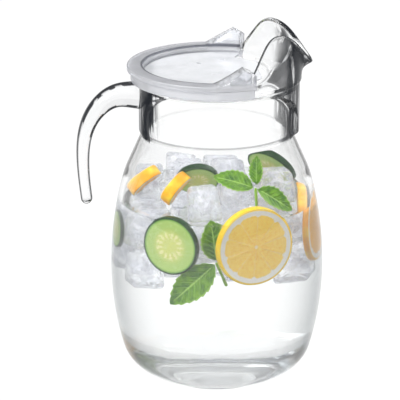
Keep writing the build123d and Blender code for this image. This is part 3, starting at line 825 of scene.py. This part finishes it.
def citrus(name, rind, flesh_dark, flesh_light, segments):
    """Rind, pith and flesh, by the share of the radius and the angle on the slice."""
    finish = Finish(name)
    reach, around, spot = slice_polar(finish)
    pulp = finish.grain(30.0, 4.0, (1, 1, 1), spot, 0.8)
    bits = finish.grain(95.0, 2.0, (1, 1, 1), spot, 0.4)
    share = (around * (segments / (2 * pi)) + 0.25 * pulp).math("FRACT")
    from_skin = 0.5 - (share - 0.5).math("ABSOLUTE")
    skin = from_skin.ramp(0.05, 0.01) * reach.ramp(0.02, 0.10)
    flesh = finish.blend(pulp.ramp(0.3, 0.7), flesh_dark, flesh_light)
    flesh = finish.blend(reach.ramp(0.1, 0.8) * 0.4, flesh, flesh_light)
    flesh = finish.blend(bits.ramp(0.5, 0.75) * 0.3, flesh, paint(255, 240, 180))
    flesh = finish.blend(skin * 0.3, flesh, paint(250, 226, 196))
    pith = finish.blend(bits, paint(232, 229, 222), paint(246, 244, 240))
    scalloped = reach + 0.05 * pulp + 0.05 * from_skin.ramp(0.16, 0.0)
    colour = finish.blend(scalloped.ramp(0.83, 0.86), flesh, pith)
    colour = finish.blend(reach.ramp(0.06, 0.03) * 0.5, colour, pith)
    waxy = finish.blend(finish.grain(120.0, 2.0).ramp(0.35, 0.8), rind, paint(255, 222, 64))
    colour = finish.blend(reach.ramp(0.925, 0.955), colour, waxy)
    dimples = finish.grain(900.0, 2.0)
    shader = finish.add("ShaderNodeBsdfPrincipled", None, {
        "Base Color": colour, "Roughness": 0.2 + 0.2 * pulp, "IOR": 1.4,
        "Normal": finish.relief(dimples + bits, 0.0004, 0.4)})
    return finish.done(shader)


lemon_finish = citrus("lemon", paint(250, 208, 30), paint(250, 198, 80), paint(255, 220, 104), lemon_segments)
ripe_finish = citrus("ripe lemon", paint(250, 170, 20), paint(240, 160, 20), paint(250, 186, 40), 9)

standing_lemons = (("lemon_slice_front", lemon_finish, front_lemon),
                   ("lemon_slice_right", ripe_finish, right_lemon))
for node, finish, (azimuth, height, lemon_r, lemon_thickness) in standing_lemons:
    piece = disc(node.replace("slice", "disc"), lemon_r, lemon_thickness, lemon_rounding)
    for vertex in piece.data.vertices:
        p = vertex.co / MM
        r, a = sqrt(p.x ** 2 + p.y ** 2), atan2(p.y, p.x) / (2 * pi) * lemon_segments
        sunk = smooth_step(lemon_r - 2.5, lemon_r - 3.9, r) * smooth_step(3.4, 5.0, r)
        sunk *= smooth_step(0.5, 0.40, abs(a - np.floor(a) - 0.5))
        if abs(p.z) > lemon_thickness / 2 - 0.1:
            vertex.co.z -= np.sign(p.z) * segment_depth * sunk * MM
    keep_flat_map(piece, lemon_r)
    set_down(piece, standing(azimuth, height, lemon_r, lemon_thickness), finish, node)

wedge_places = {"lemon_wedge_left": lying((-51.2, -2.6, 142.6), (-0.12, -0.90, 0.41), (-0.59, 0.41, 0.70)),
                "lemon_wedge_middle": lying((-29.7, -20.0, 142.0), (-0.14, -0.91, 0.39), (-0.75, 0.37, 0.55))}
for node, place in wedge_places.items():
    piece = disc(node.replace("wedge", "half"), wedge_r, wedge_thickness, lemon_rounding, columns=72)
    bpy.ops.object.mode_set(mode="EDIT")
    bpy.ops.mesh.select_all(action="SELECT")
    bpy.ops.mesh.bisect(plane_co=(0, 0, 0), plane_no=(-1, 0, 0), use_fill=True, clear_outer=True)
    bpy.ops.object.mode_set(mode="OBJECT")
    keep_flat_map(piece, wedge_r)
    set_down(piece, place, ripe_finish, node)


# Cucumber. Cut slices, one of them from the thin end: dark green skin, firm
# pale flesh, and a wetter middle with the seeds in it.
cucumber_r, end_slice_r, cucumber_thickness = 19.5, 15.0, 5.0
seed_count, lobes = 13, 3
left_cucumber = (186.0, 109.0, 13.0, cucumber_thickness)  # azimuth, height, radius and thickness
cucumber = Finish("cucumber")
reach, around, spot = slice_polar(cucumber)
fibre = cucumber.grain(24.0, 4.0, (1, 1, 1), spot, 0.8)
petal = (around * (lobes / (2 * pi)) + 0.25 * fibre).math("FRACT") - 0.5
seed_ring = (reach * 16.0 - 6.0 + 4.0 * (fibre - 0.5)).math("ABSOLUTE").ramp(2.6, 0.8)
seed_share = (around * (seed_count / (2 * pi)) + 1.6 * fibre).math("FRACT") - 0.5
seeds = seed_ring * seed_share.math("ABSOLUTE").ramp(0.2, 0.34)
spokes = cucumber.add("ShaderNodeCombineXYZ", None, {0: around * 3.0, 1: reach * 0.4})
strokes = cucumber.grain(9.0, 3.0, (1, 1, 1), spokes)
colour = cucumber.blend((reach + 0.16 * fibre).ramp(0.42, 0.78), paint(204, 210, 118), paint(168, 196, 108))
petal_edge = petal.math("ABSOLUTE").ramp(0.05, 0.0) * reach.ramp(0.62, 0.4)
colour = cucumber.blend(petal_edge * 0.4, colour, paint(222, 228, 170))
colour = cucumber.blend(seeds * 0.9, colour, paint(230, 228, 170))
colour = cucumber.blend(fibre.ramp(0.5, 0.75) * 0.5, colour, paint(208, 224, 168))
colour = cucumber.blend(strokes.ramp(0.45, 0.7) * reach.ramp(0.5, 0.8) * 0.6, colour, paint(176, 208, 122))
colour = cucumber.blend((reach + 0.02 * fibre).ramp(0.86, 0.93), colour, paint(120, 168, 74))
colour = cucumber.blend(reach.ramp(0.915, 0.95), colour, paint(32, 64, 36))
cucumber_finish = cucumber.done(cucumber.add("ShaderNodeBsdfPrincipled", None, {
    "Base Color": colour, "Roughness": 0.16 + 0.14 * fibre, "IOR": 1.38,
    "Normal": cucumber.relief(fibre + seeds, 0.0006, 0.5)}))
cucumber_places = {
    "cucumber_slice_front": (front_cucumber[2], standing(*front_cucumber)),
    "cucumber_slice_left": (left_cucumber[2], standing(*left_cucumber)),
    "cucumber_slice_middle": (end_slice_r, moved(-14.2, -8.2, 143.9) @ turned(x=122, z=-4)),
    "cucumber_slice_back": (cucumber_r, lying((41.8, 23.0, 141.2), (0.21, -0.75, 0.63),
                                              (-0.52, -0.63, -0.58))),
}
for node, (slice_r, place) in cucumber_places.items():
    piece = disc(node.replace("slice", "disc"), slice_r, cucumber_thickness, 1.0)
    keep_flat_map(piece, slice_r)
    set_down(piece, place, cucumber_finish, node)


# Mint. Thin toothed leaves, quilted between their side veins and folded a
# little along the rib, on soft green stems.
vein_pairs, vein_slant = 8.0, 0.22
mint = Finish("mint")
along_leaf, across_leaf, _ = mint.split(mint.add("ShaderNodeUVMap", {"uv_map": "leaf"}))
from_rib = (across_leaf - 0.5).math("ABSOLUTE") * 2.0
mottle = mint.grain(220.0, 3.0)
vein = ((along_leaf - from_rib * vein_slant) * vein_pairs).math("FRACT") - 0.5
vein_line = vein.math("ABSOLUTE").ramp(0.16, 0.02) * from_rib.ramp(1.0, 0.2)
colour = mint.blend(mottle.ramp(0.3, 0.7), paint(52, 108, 4), paint(108, 156, 18))
colour = mint.blend(vein_line * 0.4, colour, paint(156, 204, 92))
colour = mint.blend(from_rib.ramp(0.10, 0.02) * 0.7, colour, paint(176, 214, 116))
colour = mint.blend(from_rib.ramp(0.86, 0.98) * 0.6, colour, paint(160, 202, 84))
mint_shader = mint.add("ShaderNodeBsdfPrincipled", None, {
    "Base Color": colour, "Roughness": 0.38, "IOR": 1.4,
    "Normal": mint.relief(1.0 - vein_line + 0.4 * mottle, 0.0006, 0.7)})
mint_finish = mint.done(mint_shader)

upper_joint, lower_joint = Vector((24.0, -41.0, 148.0)), Vector((-3.8, -59.6, 102.0))
leaf_thickness, leaf_fold, leaf_arch = 0.45, 0.25, 0.9
tooth_height, quilt_depth, leaf_stalk = 1.3, 0.35, 2.0
# each leaf's foot, tip and width, and the way its face looks
mint_leaves = {
    "mint_leaf_upper_left": (upper_joint, (-4.5, -37.0, 155.5), 16.0, (0.0, -0.7, 1.0)),
    "mint_leaf_upper_top": ((24.6, -39.8, 148.4), (25.4, -29.6, 167.6), 9.0, (-0.5, -1.0, 0.5)),
    "mint_leaf_upper_right": (upper_joint, (49.2, -36.0, 130.5), 14.0, (0.2, -0.8, 1.0)),
    "mint_leaf_lower_up": (lower_joint, (-7.5, -55.4, 130.6), 19.0, (0.30, -1.0, 0.0)),
    "mint_leaf_lower_down": (lower_joint, (-33.5, -52.7, 70.5), 20.0, (-0.3, -1.0, 0.1)),
}
leaf_columns, leaf_rows = 84, 24
for node, (base, tip, width, facing_way) in mint_leaves.items():
    base, tip, facing_way = Vector(base), Vector(tip), Vector(facing_way)
    length = (tip - base).length
    forward = (tip - base).normalized()
    up = (facing_way - forward * facing_way.dot(forward)).normalized()
    across = up.cross(forward)
    bpy.ops.object.select_all(action="DESELECT")
    bpy.ops.mesh.primitive_grid_add(x_subdivisions=leaf_columns, y_subdivisions=leaf_rows, size=1.0)
    leaf = bpy.context.object
    leaf.name = node.replace("leaf", "blade")
    layer = leaf.data.uv_layers[0] if leaf.data.uv_layers else leaf.data.uv_layers.new(name="leaf")
    layer.name = "leaf"
    for vertex in leaf.data.vertices:
        u, v = vertex.co.x + 0.5, 2 * vertex.co.y
        swell = sin(pi * min(1.0, max(0.0, u)) ** 0.85) ** 0.8
        tooth = tooth_height * abs(((u * vein_pairs) % 1.0) - 0.15) * smooth_step(0.0, 0.12, u)
        tooth *= smooth_step(1.0, 0.93, u)
        half = width / 2 * swell + tooth * abs(v) ** 4
        out = v * max(half, 0.35 if u < 0.5 else 0.05)
        quilt = quilt_depth * sin(2 * pi * (vein_pairs * (u - vein_slant * abs(v)))) * (1 - abs(v))
        quilt *= smooth_step(0.04, 0.2, abs(v))
        lift = abs(out) * leaf_fold + quilt - leaf_arch * (2 * u - 1) ** 2 + 0.5
        run = leaf_stalk + u * (length - leaf_stalk)
        vertex.co = (base + forward * run + across * out + up * lift) * MM
    apply_modifier(leaf, "thickness", "SOLIDIFY", thickness=leaf_thickness * MM, offset=0.0)
    leaf.data.materials.clear()
    leaf.data.materials.append(mint_finish)
    bpy.ops.object.shade_smooth_by_angle(angle=radians(60))
    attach(leaf, "jug")
    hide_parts(node)

stem_r, stem_wave, flute, stem_sides = 0.95, 0.12, 0.12, 16
mint_stems = {"mint_stem_upper": (upper_joint, Vector((24.5, -44.5, 127.0))),
              "mint_stem_lower": (lower_joint, Vector((3.0, -53.0, 84.0)))}
for node, (top, foot) in mint_stems.items():
    run = (foot - top).normalized()
    first = run.orthogonal().normalized()
    second = run.cross(first)
    rings = []
    for share in np.linspace(0, 1, 14):
        thick = stem_r + stem_wave * sin(9 * share)
        middle = top.lerp(foot, share)
        ring = []
        for a in np.linspace(0, 2 * pi, stem_sides + 1)[:-1]:
            spoke = first * cos(a) + second * sin(a)
            ring.append((middle + spoke * thick * (1 - flute * (cos(4 * a) > 0.3))) * MM)
        rings.append(ring)
    stem = drawn_out(node.replace("stem", "stalk"), rings)
    stem.data.materials.clear()
    stem.data.materials.append(mint_finish)
    bpy.ops.object.shade_smooth_by_angle(angle=radians(50))
    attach(stem, "jug")
    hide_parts(node)
